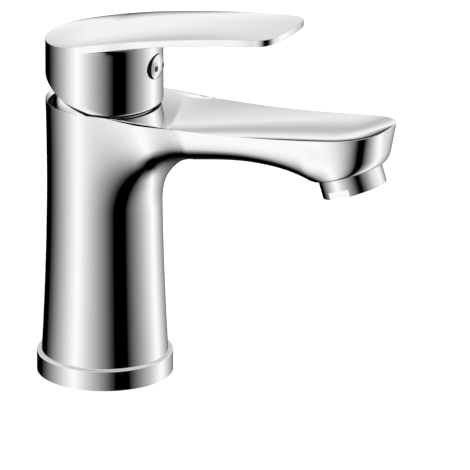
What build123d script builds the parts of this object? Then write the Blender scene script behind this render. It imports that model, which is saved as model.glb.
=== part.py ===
from build123d import *
from math import asin, cos, degrees, pi, radians, sin, sqrt
import os

# Single-lever basin mixer. Millimetres, +Z up, origin at the centre of the base on the
# deck. The spout and the lever point along -Y; "reach" is the distance forward, -Y.

# ---- Driving dimensions: column and base ----
RING_R = 27.8
RING_H = 8.8
RING_ROUND = 0.8
SPIGOT_R = 24.5
SPIGOT_FIT = 0.1
SEAL_H = 2.0
SEAL_IN_R = 21.3
SEAL_OUT_R = 26.7
FOOT_R = 25.8
WAIST_R = 23.5
WAIST_Z = 82.0
RIM_R = 24.0
RIM_Z = 117.1
FLARE_POWER = 1.75

# ---- Driving dimensions: spout ----
ELBOW_R = 28.0
ELBOW_REACH = 52.0
ELBOW_Z = 73.0
ELBOW_SWEEP = 80.0
UNDER_MID = (76.0, 104.2)
UNDER_BACK = (98.0, 102.0)
SPOUT_ROUND = 2.4
SPOUT_TIP = 131.2
TIP_START = 106.0
TIP_ROUND = 3.0
EDGE_START = 35.0
EDGE_RISE = 8.8
EDGE_POWER = 1.75
SPOUT_HALF = 22.55
SPOUT_TAPER = 0.036
SPOUT_CURVE = 0.00009
DISH_START = 5.0
DISH_FLOOR_REACH = 26.0
DISH_FLOOR_Z = 104.6
DISH_TIP_Z = 124.9
DISH_POWER = 0.86
DISH_LIP = 0.25
RIM_LAND = 0.1
COLLAR_R = 23.1
COLLAR_FOOT_R = 24.8
COLLAR_FOOT_Z = 104.0
LEDGE_Z = 114.8
LEDGE_R = 21.2
COVER_FIT = 0.05
TIP_FOOT_Z = 89.5
TIP_FOOT_REACH = 121.9
TIP_TOP_Z = 130.5
TIP_TOP_REACH = 132.4

# ---- Driving dimensions: aerator ----
AERATOR_TILT = 18.5
AERATOR_REACH = 113.4
AERATOR_Z = 105.3
AERATOR_R = 13.35
AERATOR_DROP = 8.2
AERATOR_THREAD_R = 12.0
AERATOR_THREAD_L = 6.5
BOSS_R = 14.7
HOUSING_IN_R = 10.2
OUTLET_R = 9.4
OUTLET_LIP = 1.0
FLAT_DISTANCE = 12.48
FLAT_H = 3.0
HOUSING_ROUND = 0.4
WASHER_H = 1.5
WASHER_IN_R = 9.2
FILTER_R = 10.15
REGULATOR_TOP = -6.4
REGULATOR_H = 2.0
INSERT_TOP = -4.35
INSERT_PLATE_H = 2.6
INSERT_WALL_R = 8.9
SCREEN_R = 8.85
SCREEN_TOP = 5.0
SCREEN_H = 2.0
MESH_R = 0.95
MESH_PITCH = 1.05

# ---- Driving dimensions: cartridge ----
SEAT_Z = 80.0
CARTRIDGE_R = 17.5
BORE_FIT = 0.2
BASE_STEP_H = 2.5
BASE_STEP_R = 14.4
BASE_H = 6.0
PORT_R = 2.6
PORT_X = 8.0
MIXED_PORT_Y = -7.75
SEAL_WALL = 1.5
SEAL_GROOVE_H = 1.3
FIXED_DISC_R = 12.9
FIXED_DISC_H = 3.95
DISC_FACE_Z = 90.0
MOVING_DISC_H = 3.5
CARRIER_H = 2.9
CARRIER_NECK_R = 5.2
CARRIER_TOP = 103.6
BALL_SOCKET_Z = 97.6
BALL_SOCKET_FIT = 0.15
MIX_RECESS = (8.0, 5.6)
MIX_RECESS_H = 1.6
MIX_RECESS_Y = -1.2
ROTOR_R = 13.6
ROTOR_BOTTOM = 96.8
ROTOR_TOP = 103.0
ROTOR_NECK_R = 9.55
ROTOR_NECK_TOP = 118.0
GUIDE_TRAVEL = 4.6
GUIDE_W = 10.7
ROCK_SLOT_L = 12.8
ROCK_SLOT_Z = 104.0
ROTOR_GROOVE_R = 8.5
ROTOR_GROOVE_Z = 104.6
ROTOR_GROOVE_H = 1.4
HOUSING_TOP = 106.0
HOUSING_WALL_R = 14.5
HOUSING_SHOULDER_R = 13.8
HOUSING_ROOF_Z = 103.2
NECK_R = 12.6
NECK_BORE_R = 9.7
NECK_TOP = 114.0
NUT_R = 19.95
NUT_TOP = 110.0
NUT_BORE_R = 13.0
NUT_KEY_R = 19.2
NUT_KEY_H = 2.4
NUT_FLANGE_H = 4.0
PIVOT_Z = 110.0
SPINDLE_W = 8.0
SPINDLE_TILT = 12.5
SPINDLE_TOP = 30.0
BALL_R = 3.0
BALL_ARM = 9.0
ARM_R = 1.9
SPINDLE_HEEL = 3.4
PIN_R = 1.98
PIN_HALF = 9.3
DOME_R = 21.4
DOME_WALL = 1.2
DOME_MOUTH_R = 12.5
DISC_R = 10.4
SMALL_GAP = 0.03
PORTS = [(-PORT_X, 4.0, PORT_R), (PORT_X, 4.0, PORT_R), (0, MIXED_PORT_Y, PORT_R)]

# ---- Driving dimensions: handle ----
HUB_R = 24.0
HUB_LIP_R = 22.0
HUB_LIP_Z = 115.4
HUB_FULL_Z = 121.3
HUB_CLEAR_R = 21.7
LEVER_TIP = 86.5
LEVER_TOP_Z = 146.6
LEVER_SLOPE = 0.25082
LEVER_BEND = 0.000874
LEVER_DROOP = 0.00000117
LEVER_BACK_RISE = 3.1
LEVER_HALF = [(6, 23.7), (12, 23.3), (22, 22.1), (35, 21.1), (50, 19.9), (66, 18.6), (78, 17.3)]
LEVER_CORNER = [(82.5, 16.2), (84.7, 13.9), (85.7, 10.5), (86.3, 5.5)]
LEVER_WALL = 3.9
LEVER_TIP_WALL = 3.0
TILT_CUT_Z = 118.4
TILT_CUT_SLOPE = 0.466
HUB_ROOF_Z = 139.5
HUB_WALL = 3.4
BOSS_SOCKET_R = 7.0
BOSS_OUT_R = 10.5
SOCKET_BOTTOM = 18.5
SOCKET_TOP = 31.6
SCREW_R = 2.5
SCREW_L = 5.6
SCREW_POINT_R = 1.2
SCREW_KEY_R = 1.44
SCREW_KEY_DEPTH = 3.0
SCREW_START = 5.5
INDICATOR_R = 5.1
INDICATOR_Z = 134.3
DOT_R = 1.2
DOT_SPACING = 4.9
CAP_FACE = 22.0
CAP_EDGE = 23.9
CAP_FRONT = 25.2
CAP_PLUG_R = 2.7
CAP_PLUG_END = 19.5
DOT_SEAT = 2.3
DOT_H = 0.64

# ---- Driving dimensions: connections under the body ----
WEB_BOTTOM = 46.0
WEB_TOP = 60.0
CAVITY_R = 21.0
INLET_R = 4.5
INLET_X = 9.5
INLET_Y = 4.0
STUD_R = 3.4
STUD_Y = -11.0
THREAD_DEPTH = 12.0
FEED_R = 2.8
MIXED_DUCT_HALF = 4.5

os.makedirs("parts", exist_ok=True)


def save(part, name):
    part.label = name
    export_step(part, "parts/" + name + ".step")


def column_radius(z):
    """Outer radius of the waisted column at a height."""
    if z < WAIST_Z:
        share = (WAIST_Z - z) / (WAIST_Z - RING_H)
        return WAIST_R + (FOOT_R - WAIST_R) * share ** FLARE_POWER
    share = (z - WAIST_Z) / (RIM_Z - WAIST_Z)
    return WAIST_R + (RIM_R - WAIST_R) * share ** 2


def spout_half(reach):
    """Half-width of the spout's top edge before its tip is rounded."""
    past = max(0.0, reach - 10.0)
    return SPOUT_HALF - SPOUT_TAPER * past - SPOUT_CURVE * past * past


def tip_half(reach):
    """Half-width of the spout's top edge with the rounded tip."""
    share = min(1.0, max(0.0, (reach - TIP_START) / (SPOUT_TIP - TIP_START)))
    return spout_half(reach) * (1.0 - share ** TIP_ROUND) ** (1.0 / TIP_ROUND)


def edge_height(reach):
    """Height of the spout's top edge."""
    share = max(0.0, reach - EDGE_START) / (SPOUT_TIP - EDGE_START)
    return RIM_Z + EDGE_RISE * share ** EDGE_POWER


def dish_floor(reach):
    """Height of the dish's lowest line along the middle of the spout."""
    share = max(0.0, reach - DISH_FLOOR_REACH) / (SPOUT_TIP - DISH_FLOOR_REACH)
    return DISH_FLOOR_Z + (DISH_TIP_Z - DISH_FLOOR_Z) * share ** DISH_POWER


def lever_top(reach):
    """Height of the lever's top edge."""
    back_rise = LEVER_BACK_RISE * min(0, reach / HUB_R) ** 2
    return LEVER_TOP_Z + LEVER_SLOPE * reach - LEVER_BEND * reach ** 2 - LEVER_DROOP * reach ** 3 + back_rise


def section_points(half, depth, roundness, count):
    """Points of a U section: half-width against the distance up from the underside."""
    points = []
    for step in range(-count, count + 1):
        turn = abs(step) / count * pi / 2
        x = half * sin(turn) ** (2 / roundness)
        up = depth * (1.0 - max(0.0, cos(turn)) ** (2 / roundness))
        points.append((x if step > 0 else -x, up))
    return points


def spout_section(reach, z, lean, depth, half, roundness):
    """One closed U section of the spout, on a plane through its underside point."""
    up = Vector(0, sin(radians(lean)), cos(radians(lean)))
    plane = Plane(origin=(0, -reach, z), x_dir=(1, 0, 0), z_dir=Vector(1, 0, 0).cross(up))
    points = section_points(half, depth, roundness, 8)
    with BuildSketch(plane) as sketch:
        with BuildLine():
            Spline(*points)
            Line(points[-1], points[0])
        make_face()
    return sketch.sketch


def elbow_sections():
    """U sections that fan round the centre of the fillet under the spout."""
    sections = []
    for turn in (0, 16, 32, 48, 64, ELBOW_SWEEP):
        reach = ELBOW_REACH - ELBOW_R * cos(radians(turn))
        z = ELBOW_Z + ELBOW_R * sin(radians(turn))
        depth = reach / cos(radians(turn))
        half = column_radius(min(RIM_Z, z + depth * sin(radians(turn))))
        if z + depth * sin(radians(turn)) > RIM_Z:
            depth = (RIM_Z - z) / sin(radians(turn))
            edge_reach = reach - depth * cos(radians(turn))
            half = max(spout_half(edge_reach), sqrt(max(0.0, RIM_R ** 2 - edge_reach ** 2)))
        roundness = 2.0 + (SPOUT_ROUND - 2.0) * turn / ELBOW_SWEEP
        sections.append(spout_section(reach, z, 90 - turn, depth, half, roundness))
    return sections


def straight_sections():
    """Upright U sections along the spout, deeper round the aerator boss."""
    sections = []
    under = [(58.0, 102.6), UNDER_MID, (90.0, 103.5), UNDER_BACK, (108.0, 98.6), (120.0, 97.5), (133.0, 97.0)]
    for reach, z in under:
        depth = edge_height(reach) - z
        sections.append(spout_section(reach, z, 0, depth, spout_half(reach), SPOUT_ROUND))
    return sections


aerator_plane = Plane(
    origin=(0, -AERATOR_REACH, AERATOR_Z),
    x_dir=(1, 0, 0),
    z_dir=(0, -sin(radians(AERATOR_TILT)), -cos(radians(AERATOR_TILT))),
)


def dish_section(reach, half, floor):
    """Shallow arc across the spout, open upward, as a closed cutter section."""
    top = edge_height(SPOUT_TIP) + 6.0
    edge = edge_height(reach)
    with BuildSketch(Plane(origin=(0, -reach, 0), x_dir=(1, 0, 0), z_dir=(0, -1, 0))) as sketch:
        with BuildLine():
            ThreePointArc((-half, edge), (0, floor), (half, edge))
            Polyline((half, edge), (half, top), (-half, top), (-half, edge))
        make_face()
    return sketch.sketch


def tip_outline(z, tip):
    """Plan outline of the rounded tip, closed well behind it."""
    shares = (0.1, 0.35, 0.55, 0.72, 0.85, 0.94, 0.985)
    side = [(spout_half(TIP_START) * (1 - u ** TIP_ROUND) ** (1 / TIP_ROUND),
             -TIP_START - u * (tip - TIP_START)) for u in shares]
    with BuildSketch(Plane.XY.offset(z)) as sketch:
        with BuildLine():
            nose = Spline(*side, (0, -tip), *[(-x, y) for x, y in reversed(side)])
            Polyline(nose @ 1, (-21, -100), (-21, -90), (21, -90), (21, -100), nose @ 0)
        make_face()
    return sketch.sketch


def tilted(part_tilt):
    """Plane through the lever pivot, leaning forward by the spindle's angle."""
    return Plane(
        origin=(0, 0, PIVOT_Z),
        x_dir=(1, 0, 0),
        z_dir=(0, -sin(radians(part_tilt)), cos(radians(part_tilt))),
    )


def ring(inner, outer, bottom, top):
    """Plain ring about the column axis."""
    with BuildPart() as made:
        with BuildSketch(Plane.XY.offset(bottom)):
            Circle(outer)
            Circle(inner, mode=Mode.SUBTRACT)
        extrude(amount=top - bottom)
    return made.part


# ---- Trimming solids for the spout's tip and for its dish ----
with BuildPart() as tip_trim:
    with BuildSketch(Plane.XY.offset(90)):
        with Locations((0, -118)):
            Rectangle(60, 36)
    extrude(amount=40)
    loft(
        sections=[tip_outline(TIP_FOOT_Z, TIP_FOOT_REACH), tip_outline(TIP_TOP_Z, TIP_TOP_REACH)],
        ruled=True,
        mode=Mode.SUBTRACT,
    )

with BuildPart() as dish_cut:
    stations = [(r, dish_floor(r)) for r in (DISH_FLOOR_REACH, 50, 75, 100, 118, 126)]
    sections = [dish_section(DISH_START, COLLAR_R + RIM_LAND, LEDGE_Z + 1.0)]
    sections += [dish_section(r, tip_half(r) - DISH_LIP, floor) for r, floor in stations]
    sections += [dish_section(SPOUT_TIP - 1.0, tip_half(SPOUT_TIP - 1.0) - DISH_LIP, DISH_TIP_Z + 0.3)]
    loft(sections=sections)
    # The collar that stands inside the dish round the cartridge.
    with BuildSketch(Plane.XZ):
        with BuildLine():
            Polyline((0, 100), (COLLAR_FOOT_R + 0.8, 100), (COLLAR_FOOT_R, COLLAR_FOOT_Z),
                     (COLLAR_R + 0.45, 109), (COLLAR_R, LEDGE_Z), (RIM_R - RIM_LAND, RIM_Z),
                     (RIM_R - RIM_LAND, 119), (0, 119), (0, 100))
        make_face()
    revolve(axis=Axis.Z, mode=Mode.SUBTRACT)

# ---- Body: one brass casting with the column, the spout and its waterways ----
with BuildPart() as body:
    with BuildSketch(Plane.XZ):
        with BuildLine():
            Polyline((0, SEAL_H), (SPIGOT_R, SEAL_H), (SPIGOT_R, RING_H), (FOOT_R, RING_H))
            Spline(*[(column_radius(z), z) for z in (RING_H, 22, 40, 60, WAIST_Z, 100, RIM_Z)])
            Polyline((RIM_R, RIM_Z), (0, RIM_Z), (0, SEAL_H))
        make_face()
    revolve(axis=Axis.Z)
    loft(sections=elbow_sections() + straight_sections())
    add(tip_trim.part, mode=Mode.SUBTRACT)
    add(dish_cut.part, mode=Mode.SUBTRACT)
    # Everything above the aerator's seating face stays; the boss is sliced off square.
    with BuildSketch(aerator_plane):
        Rectangle(60, 2 * BOSS_R + 6)
    extrude(amount=20, mode=Mode.SUBTRACT)
    # Rim recess, dome cover counterbore, nut thread and cartridge bore.
    with BuildSketch(Plane.XZ):
        with BuildLine():
            bore_r = CARTRIDGE_R + BORE_FIT
            thread_r = NUT_R + COVER_FIT
            Polyline((0, SEAT_Z), (bore_r, SEAT_Z), (bore_r, HOUSING_TOP - 2), (thread_r, HOUSING_TOP - 2),
                     (thread_r, NUT_TOP), (LEDGE_R, NUT_TOP), (LEDGE_R, LEDGE_Z), (COLLAR_R, LEDGE_Z),
                     (RIM_R - RIM_LAND, RIM_Z), (RIM_R - RIM_LAND, 125), (0, 125), (0, SEAT_Z))
        make_face()
    revolve(axis=Axis.Z, mode=Mode.SUBTRACT)
    # Hollow foot under the web that carries the threads.
    with BuildSketch(Plane.XY.offset(SEAL_H)):
        Circle(CAVITY_R)
    extrude(amount=WEB_BOTTOM - SEAL_H, mode=Mode.SUBTRACT)
    # Hot and cold inlets, threaded below and drilled on to the cartridge seat.
    with BuildSketch(Plane.XY.offset(WEB_BOTTOM)):
        with Locations((-INLET_X, INLET_Y), (INLET_X, INLET_Y)):
            Circle(INLET_R)
    extrude(amount=THREAD_DEPTH, mode=Mode.SUBTRACT)
    with BuildSketch(Plane.XY.offset(WEB_BOTTOM)):
        with Locations((-PORT_X, INLET_Y), (PORT_X, INLET_Y)):
            Circle(FEED_R)
    extrude(amount=SEAT_Z - WEB_BOTTOM, mode=Mode.SUBTRACT)
    with BuildSketch(Plane.XY.offset(WEB_BOTTOM)):
        with Locations((0, STUD_Y)):
            Circle(STUD_R)
    extrude(amount=THREAD_DEPTH, mode=Mode.SUBTRACT)
    # Mixed water: down through the seat, forward, up in front of the bore, along the spout.
    with BuildSketch(Plane.YZ):
        with BuildLine():
            Polyline((-5, SEAT_Z), (-5, 73.5), (-21.6, 73.5), (-21.6, 94), (-35, 98.5), (-60, 105.4),
                     (-100, 105), (-108, 106.5), (-108, 113), (-80, 111), (-60, 108.6), (-35, 102),
                     (-19.5, 99.5), (-19.5, 77.5), (-10.5, 77.5), (-10.5, SEAT_Z), (-5, SEAT_Z))
        make_face()
    extrude(amount=MIXED_DUCT_HALF, both=True, mode=Mode.SUBTRACT)
    # Threaded socket for the aerator.
    with BuildSketch(aerator_plane):
        Circle(AERATOR_THREAD_R)
    extrude(amount=-(AERATOR_THREAD_L + 1.6), mode=Mode.SUBTRACT)
save(body.part, "body")

# ---- Base ring and its seal ----
with BuildPart() as base_ring:
    with BuildSketch(Plane.XZ):
        with BuildLine():
            inner = SPIGOT_R + SPIGOT_FIT
            seal_r = SEAL_OUT_R + SPIGOT_FIT
            top = RING_H - SMALL_GAP
            Polyline((inner, SEAL_H), (seal_r, SEAL_H), (seal_r, 0), (RING_R, 0), (RING_R, top),
                     (inner, top), (inner, SEAL_H))
        make_face()
    revolve(axis=Axis.Z)
    top_edge = base_ring.edges().filter_by(GeomType.CIRCLE).group_by(Axis.Z)[-1].sort_by(SortBy.RADIUS)[-1]
    fillet(top_edge, radius=RING_ROUND)
save(base_ring.part, "base_ring")
save(ring(SEAL_IN_R, SEAL_OUT_R, 0, SEAL_H - 0.01), "base_seal")

# ---- Cartridge: housing, base, seals and ceramic discs ----
with BuildPart() as cartridge_base:
    with BuildSketch(Plane.XY.offset(SEAT_Z + SMALL_GAP)):
        Circle(CARTRIDGE_R)
    extrude(amount=BASE_STEP_H)
    with BuildSketch(Plane.XY.offset(SEAT_Z + BASE_STEP_H)):
        Circle(BASE_STEP_R)
    extrude(amount=BASE_H - BASE_STEP_H)
    for x, y, port_r in PORTS:
        with BuildSketch(Plane.XY.offset(SEAT_Z)):
            with Locations((x, y)):
                Circle(port_r)
        extrude(amount=BASE_H, mode=Mode.SUBTRACT)
        with BuildSketch(Plane.XY.offset(SEAT_Z)):
            with Locations((x, y)):
                Circle(port_r + SEAL_WALL + SPIGOT_FIT)
        extrude(amount=SEAL_GROOVE_H, mode=Mode.SUBTRACT)
save(cartridge_base.part, "cartridge_base")

with BuildPart() as port_seals:
    for x, y, port_r in PORTS:
        with BuildSketch(Plane.XY.offset(SEAT_Z + SMALL_GAP)):
            with Locations((x, y)):
                Circle(port_r + SEAL_WALL)
                Circle(port_r + SPIGOT_FIT, mode=Mode.SUBTRACT)
        extrude(amount=SEAL_GROOVE_H - 0.1)
save(port_seals.part, "port_seals")

with BuildPart() as cartridge_housing:
    with BuildSketch(Plane.XZ):
        with BuildLine():
            skirt_z = SEAT_Z + BASE_STEP_H + 2 * SMALL_GAP
            shoulder_z = DISC_FACE_Z + 0.5
            Polyline((HOUSING_WALL_R, skirt_z), (CARTRIDGE_R, skirt_z), (CARTRIDGE_R, HOUSING_TOP),
                     (NECK_R, HOUSING_TOP), (NECK_R, NECK_TOP), (NECK_BORE_R, NECK_TOP),
                     (NECK_BORE_R, HOUSING_ROOF_Z), (HOUSING_SHOULDER_R, HOUSING_ROOF_Z),
                     (HOUSING_SHOULDER_R, shoulder_z), (HOUSING_WALL_R, shoulder_z),
                     (HOUSING_WALL_R, skirt_z))
        make_face()
    revolve(axis=Axis.Z)
save(cartridge_housing.part, "cartridge_housing")

with BuildPart() as fixed_disc:
    with BuildSketch(Plane.XY.offset(SEAT_Z + BASE_H + SMALL_GAP)):
        Circle(FIXED_DISC_R)
        for x, y, port_r in PORTS:
            with Locations((x, y)):
                Circle(port_r, mode=Mode.SUBTRACT)
    extrude(amount=FIXED_DISC_H)
save(fixed_disc.part, "fixed_ceramic_disc")

BALL_BACK = BALL_ARM * sin(radians(SPINDLE_TILT))
BALL_Z = PIVOT_Z - BALL_ARM * cos(radians(SPINDLE_TILT))
with BuildPart() as moving_disc:
    with BuildSketch(Plane.XY.offset(DISC_FACE_Z)):
        with Locations((0, BALL_BACK)):
            Circle(DISC_R)
    extrude(amount=MOVING_DISC_H)
    # The mixing recess faces the fixed disc.
    with BuildSketch(Plane.XY.offset(DISC_FACE_Z)):
        with Locations((0, BALL_BACK + MIX_RECESS_Y)):
            Ellipse(*MIX_RECESS)
    extrude(amount=MIX_RECESS_H, mode=Mode.SUBTRACT)
save(moving_disc.part, "moving_ceramic_disc")

with BuildPart() as disc_carrier:
    with BuildSketch(Plane.XY.offset(DISC_FACE_Z + MOVING_DISC_H + SMALL_GAP)):
        with Locations((0, BALL_BACK)):
            Circle(DISC_R)
    extrude(amount=CARRIER_H)
    with BuildSketch(Plane.XY.offset(DISC_FACE_Z + MOVING_DISC_H + CARRIER_H)):
        with Locations((0, BALL_BACK)):
            Circle(CARRIER_NECK_R)
    extrude(amount=CARRIER_TOP - DISC_FACE_Z - MOVING_DISC_H - CARRIER_H)
    with BuildSketch(Plane.XY.offset(BALL_SOCKET_Z)):
        with Locations((0, BALL_BACK)):
            Circle(BALL_R + BALL_SOCKET_FIT)
    extrude(amount=CARRIER_TOP - BALL_SOCKET_Z, mode=Mode.SUBTRACT)
save(disc_carrier.part, "disc_carrier")

with BuildPart() as rotor:
    with BuildSketch(Plane.XY.offset(ROTOR_BOTTOM)):
        Circle(ROTOR_R)
    extrude(amount=ROTOR_TOP - ROTOR_BOTTOM)
    with BuildSketch(Plane.XY.offset(ROTOR_TOP)):
        Circle(ROTOR_NECK_R)
    extrude(amount=ROTOR_NECK_TOP - ROTOR_TOP)
    # Guide slot for the disc carrier, then the narrower slot the spindle rocks in.
    with BuildSketch(Plane.XY.offset(ROTOR_BOTTOM)):
        SlotCenterToCenter(GUIDE_TRAVEL, GUIDE_W, rotation=90)
    extrude(amount=ROCK_SLOT_Z + 0.4 - ROTOR_BOTTOM, mode=Mode.SUBTRACT)
    with BuildSketch(Plane.XY.offset(ROCK_SLOT_Z)):
        Rectangle(SPINDLE_W + 0.12, ROCK_SLOT_L)
    extrude(amount=ROTOR_NECK_TOP - ROCK_SLOT_Z, mode=Mode.SUBTRACT)
    with BuildSketch(Plane.YZ):
        with Locations((0, PIVOT_Z)):
            Circle(PIN_R + 0.01)
    extrude(amount=20, both=True, mode=Mode.SUBTRACT)
    with BuildSketch(Plane.XY.offset(ROTOR_GROOVE_Z)):
        Circle(ROTOR_NECK_R + 0.5)
        Circle(ROTOR_GROOVE_R, mode=Mode.SUBTRACT)
    extrude(amount=ROTOR_GROOVE_H, mode=Mode.SUBTRACT)
save(rotor.part, "cartridge_rotor")
seal_bottom = ROTOR_GROOVE_Z + 0.05
seal_top = ROTOR_GROOVE_Z + ROTOR_GROOVE_H - 0.05
save(ring(ROTOR_GROOVE_R + 0.05, NECK_BORE_R - 0.04, seal_bottom, seal_top), "rotor_seal")

with BuildPart() as pivot_pin:
    with BuildSketch(Plane.YZ):
        with Locations((0, PIVOT_Z)):
            Circle(PIN_R)
    extrude(amount=PIN_HALF, both=True)
save(pivot_pin.part, "pivot_pin")
save(ring(NECK_BORE_R + 0.1, NECK_R - 0.2, NECK_TOP + SMALL_GAP, NECK_TOP + 2.2), "limit_ring")

with BuildPart() as spindle:
    with BuildSketch(tilted(SPINDLE_TILT).offset(-SPINDLE_HEEL)):
        Rectangle(SPINDLE_W, SPINDLE_W)
    extrude(amount=SPINDLE_TOP + SPINDLE_HEEL)
    with BuildSketch(tilted(SPINDLE_TILT)):
        Circle(ARM_R)
    extrude(amount=-BALL_ARM)
    with Locations((0, BALL_BACK, BALL_Z)):
        Sphere(BALL_R)
    with BuildSketch(Plane.YZ):
        with Locations((0, PIVOT_Z)):
            Circle(PIN_R + 0.04)
    extrude(amount=20, both=True, mode=Mode.SUBTRACT)
save(spindle.part, "spindle")

# ---- Nut, dome cover and cover seal ----
with BuildPart() as cartridge_nut:
    with BuildSketch(Plane.XY.offset(HOUSING_TOP + SMALL_GAP)):
        Circle(NUT_R)
        Circle(NUT_BORE_R, mode=Mode.SUBTRACT)
    extrude(amount=NUT_FLANGE_H)
    with BuildSketch(Plane.XY.offset(NUT_TOP)):
        RegularPolygon(NUT_KEY_R, 8)
        Circle(NUT_BORE_R, mode=Mode.SUBTRACT)
    extrude(amount=NUT_KEY_H)
save(cartridge_nut.part, "cartridge_nut")
save(ring(NUT_R + 0.15, LEDGE_R - 0.1, NUT_TOP + COVER_FIT, NUT_TOP + 1.0), "cover_seal")

with BuildPart() as dome_cover:
    with BuildSketch(Plane.XZ):
        with BuildLine():
            mouth = degrees(asin(DOME_MOUTH_R / DOME_R))
            skirt = degrees(asin((DOME_R - 0.4) / DOME_R))
            outside = CenterArc((0, PIVOT_Z), DOME_R, 90 - skirt, skirt - mouth)
            inside = CenterArc((0, PIVOT_Z), DOME_R - DOME_WALL, 90 - skirt, skirt - mouth)
            Line(outside @ 1, inside @ 1)
            bottom = NUT_TOP + 1.1
            Polyline(outside @ 0, ((outside @ 0).X, bottom), ((inside @ 0).X, bottom), inside @ 0)
        make_face()
    revolve(axis=Axis.Z)
save(dome_cover.part, "dome_cover")

# ---- Handle: hub and lever cast in one, hollow underneath ----
def lever_under(reach):
    """Height of the lever's underside, thinner towards the tip."""
    thinner = (LEVER_WALL - LEVER_TIP_WALL) * (reach - 20) / (LEVER_TIP - 20)
    return lever_top(reach) - LEVER_WALL + thinner


with BuildPart() as lever_blade:
    with BuildSketch(Plane.XY.offset(HUB_LIP_Z)):
        with BuildLine():
            side = [(x, -reach) for reach, x in LEVER_HALF + LEVER_CORNER]
            Spline((HUB_R, 0), *side, (0, -LEVER_TIP), *[(-x, y) for x, y in reversed(side)],
                   (-HUB_R, 0), tangents=[(0, -1), (0, 1)])
            CenterArc((0, 0), HUB_R, 0, 180)
        make_face()
    extrude(amount=60)
    with BuildSketch(Plane.YZ):
        with BuildLine():
            top = Spline(*[(-r, lever_top(r)) for r in (-26, -12, 0, 20, 40, 60, 75, 90)])
            under = Spline(*[(-r, lever_under(r)) for r in (90, 75, 60, 40, 20, 0, -26)])
            Line(top @ 1, under @ 0)
            Line(under @ 1, top @ 0)
        make_face()
    extrude(amount=40, both=True, mode=Mode.INTERSECT)

with BuildPart() as hub_cavity:
    with BuildSketch(Plane.XZ):
        with BuildLine():
            wall = HUB_R - HUB_WALL
            climb = sqrt(HUB_CLEAR_R ** 2 - wall ** 2)
            drop = degrees(asin((LEDGE_Z + 0.8 - PIVOT_Z) / HUB_CLEAR_R))
            rise = degrees(asin(climb / HUB_CLEAR_R))
            lower = CenterArc((0, PIVOT_Z), HUB_CLEAR_R, drop - 8, rise - drop + 8)
            Polyline(lower @ 1, (wall, HUB_ROOF_Z), (0, HUB_ROOF_Z), (0, (lower @ 0).Y), lower @ 0)
        make_face()
    revolve(axis=Axis.Z)
    with BuildSketch(tilted(SPINDLE_TILT).offset(HUB_CLEAR_R + 1.5)):
        Circle(BOSS_OUT_R)
    extrude(amount=20, mode=Mode.SUBTRACT)

with BuildPart() as handle:
    with BuildSketch(Plane.XZ):
        with BuildLine():
            Polyline((0, HUB_LIP_Z), (HUB_LIP_R, HUB_LIP_Z))
            Spline((HUB_LIP_R, HUB_LIP_Z), (22.75, 117.9), (23.6, 119.7), (HUB_R, HUB_FULL_Z),
                   tangents=[(0.28, 1), (0, 1)])
            Polyline((HUB_R, HUB_FULL_Z), (HUB_R, 160), (0, 160), (0, HUB_LIP_Z))
        make_face()
    revolve(axis=Axis.Z)
    with BuildSketch(Plane.YZ):
        with BuildLine():
            over = Spline(*[(-r, lever_top(r) - 0.5) for r in (-26, -12, 0, 12, 26)])
            Polyline(over @ 1, (-26, 100), (26, 100), over @ 0)
        make_face()
    extrude(amount=40, both=True, mode=Mode.INTERSECT)
    add(lever_blade.part)
    add(hub_cavity.part, mode=Mode.SUBTRACT)
    # The back is cut away so that the handle can tip back over the rim.
    with BuildSketch(Plane.YZ):
        with BuildLine():
            front_y = (HUB_LIP_Z - TILT_CUT_Z) / TILT_CUT_SLOPE
            Polyline((front_y, HUB_LIP_Z), (30, TILT_CUT_Z + 30 * TILT_CUT_SLOPE), (30, 100),
                     (front_y, 100), (front_y, HUB_LIP_Z))
        make_face()
    extrude(amount=40, both=True, mode=Mode.SUBTRACT)
    # Socket for the insert, and the indicator's recess with the set screw's hole behind it.
    with BuildSketch(tilted(SPINDLE_TILT).offset(SOCKET_BOTTOM)):
        Circle(BOSS_SOCKET_R + SMALL_GAP)
    extrude(amount=SOCKET_TOP - SOCKET_BOTTOM, mode=Mode.SUBTRACT)
    front = Plane(origin=(0, -CAP_FACE, INDICATOR_Z), x_dir=(1, 0, 0), z_dir=(0, -1, 0))
    with BuildSketch(front):
        Circle(INDICATOR_R + BALL_SOCKET_FIT)
    extrude(amount=8, mode=Mode.SUBTRACT)
    with BuildSketch(front):
        Circle(SCREW_R + 0.3)
    extrude(amount=-5, mode=Mode.SUBTRACT)
    with BuildSketch(front):
        Circle(SCREW_R + SMALL_GAP)
    extrude(amount=-14, mode=Mode.SUBTRACT)
save(handle.part, "handle")

with BuildPart() as handle_insert:
    with BuildSketch(tilted(SPINDLE_TILT).offset(SOCKET_BOTTOM)):
        Circle(BOSS_SOCKET_R)
        Rectangle(SPINDLE_W + 0.08, SPINDLE_W + 0.08, mode=Mode.SUBTRACT)
    extrude(amount=SPINDLE_TOP + 0.1 - SOCKET_BOTTOM)
    with BuildSketch(tilted(SPINDLE_TILT).offset(SPINDLE_TOP + 0.1)):
        Circle(BOSS_SOCKET_R)
    extrude(amount=SOCKET_TOP - SPINDLE_TOP - 0.15)
    with BuildSketch(front):
        Circle(SCREW_R + SMALL_GAP)
    extrude(amount=-16, mode=Mode.SUBTRACT)
save(handle_insert.part, "handle_insert")

with BuildPart() as set_screw:
    with BuildSketch(front.offset(-SCREW_START)):
        Circle(SCREW_R)
    extrude(amount=-SCREW_L)
    with BuildSketch(front.offset(-SCREW_START - SCREW_L)):
        Circle(SCREW_POINT_R)
    extrude(amount=-1.0)
    with BuildSketch(front.offset(-SCREW_START)):
        RegularPolygon(SCREW_KEY_R, 6)
    extrude(amount=-SCREW_KEY_DEPTH, mode=Mode.SUBTRACT)
save(set_screw.part, "set_screw")

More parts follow.
